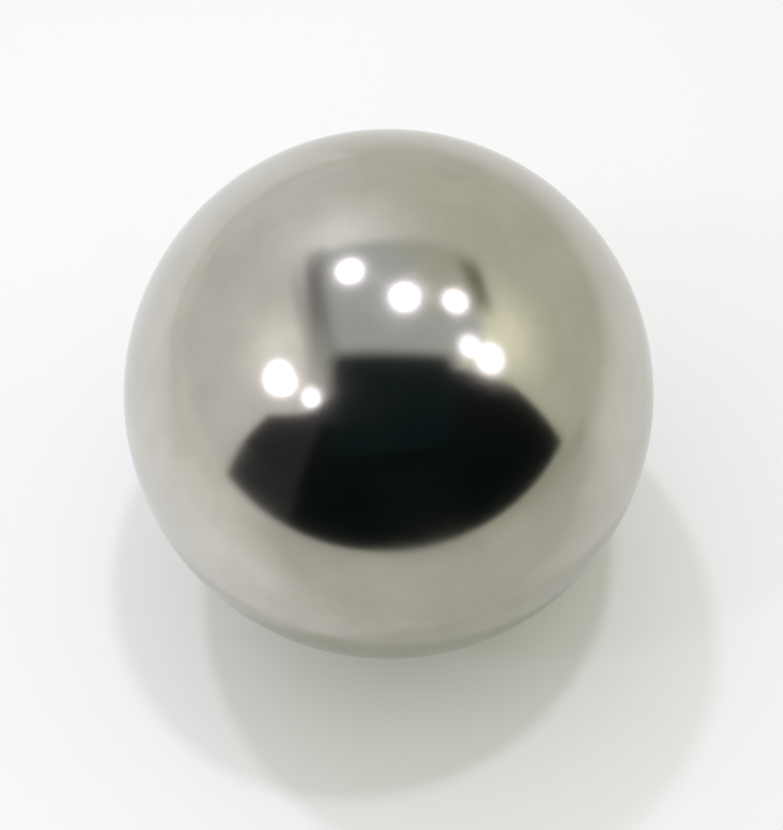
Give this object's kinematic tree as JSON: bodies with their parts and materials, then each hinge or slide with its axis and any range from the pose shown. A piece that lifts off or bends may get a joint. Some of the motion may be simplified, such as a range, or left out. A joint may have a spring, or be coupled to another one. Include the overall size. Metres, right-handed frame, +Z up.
{
  "type": "steel ball",
  "caption": "Solid polished steel ball, a true sphere with a mirror-lapped surface, for rolling in a race, resting in a cup or seating in a socket.",
  "frame": {"origin": "centre of the ball", "axes": "+Z up, away from the surface that the ball lies on; every axis through the centre is an axis of symmetry"},
  "size_m": [0.0126, 0.0126, 0.0126],
  "materials": {
    "polished_steel": "mirror lapped"
  },
  "bodies": {
    "root": {"steel_ball": "polished_steel"}
  },
  "joints": []
}
